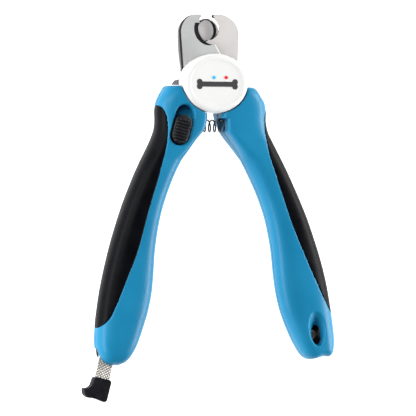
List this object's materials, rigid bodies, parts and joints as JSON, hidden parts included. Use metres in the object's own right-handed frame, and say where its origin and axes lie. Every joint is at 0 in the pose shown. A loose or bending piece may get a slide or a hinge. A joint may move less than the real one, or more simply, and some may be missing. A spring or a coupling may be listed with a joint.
{
  "type": "pet nail trimmer",
  "caption": "Plier-type pet nail trimmer with curved shear blades, safety guard, sprung moulded handles with rubber grips, thumb lock and a nail file stored in one handle.",
  "frame": {"origin": "pivot axis where it meets the rest plane, at the rear face of the pivot sleeve's flange", "axes": "+Z from the rest plane towards the cap side, +Y towards the blades, +X towards the right handle"},
  "size_m": [0.1196, 0.1726, 0.018],
  "materials": {
    "blue_plastic": "satin moulded blue plastic",
    "black_rubber": "matte soft-touch rubber",
    "white_plastic": "glossy white plastic",
    "black_plastic": "fine textured black plastic",
    "blade_steel": "ground and tumbled stainless",
    "guard_steel": "pressed stainless sheet",
    "hardware_steel": "turned steel",
    "spring_steel": "blackened spring wire",
    "file_steel": "double cut nickel plated steel"
  },
  "bodies": {
    "left_handle": {"rear_blade": "blade_steel", "pivot_barrel": "hardware_steel", "pivot_screw": "hardware_steel", "blade_washer": "hardware_steel", "spring_washer": "hardware_steel", "pivot_cap": "white_plastic", "left_front_shell": "blue_plastic", "left_rear_shell": "blue_plastic", "left_grip": "black_rubber", "left_tang_pins": "hardware_steel", "lock_detent": "hardware_steel", "file_detent": "hardware_steel", "return_spring": "spring_steel"},
    "right_handle": {"front_blade": "blade_steel", "right_front_shell": "blue_plastic", "right_rear_shell": "blue_plastic", "right_grip": "black_rubber", "right_tang_pins": "hardware_steel"},
    "guard": {"safety_guard": "guard_steel"},
    "lock": {"lock_slider": "black_plastic", "lock_plate": "hardware_steel"},
    "file": {"nail_file": "file_steel", "file_cap": "black_plastic"}
  },
  "joints": [
    {"name": "handle_pivot", "type": "hinge", "parent": "left_handle", "child": "right_handle", "pos_m": [0, 0, 0.008], "axis": [0, 0, -1], "range_deg": [0, 24.5], "stiffness_Nm_per_rad": 0.25, "springref_deg": -17.19, "deforming": ["return_spring"]},
    {"name": "guard_swing", "type": "hinge", "parent": "left_handle", "child": "guard", "pos_m": [0, 0, 0.0035], "axis": [0, 0, -1], "range_deg": [0, 35]},
    {"name": "lock_slide", "type": "slide", "parent": "left_handle", "child": "lock", "axis": [0.2666, 0.9638, 0], "range_m": [0, 0.004]},
    {"name": "file_slide", "type": "slide", "parent": "left_handle", "child": "file", "axis": [-0.23, -0.9732, 0], "range_m": [-0.0063, 0.055]}
  ]
}
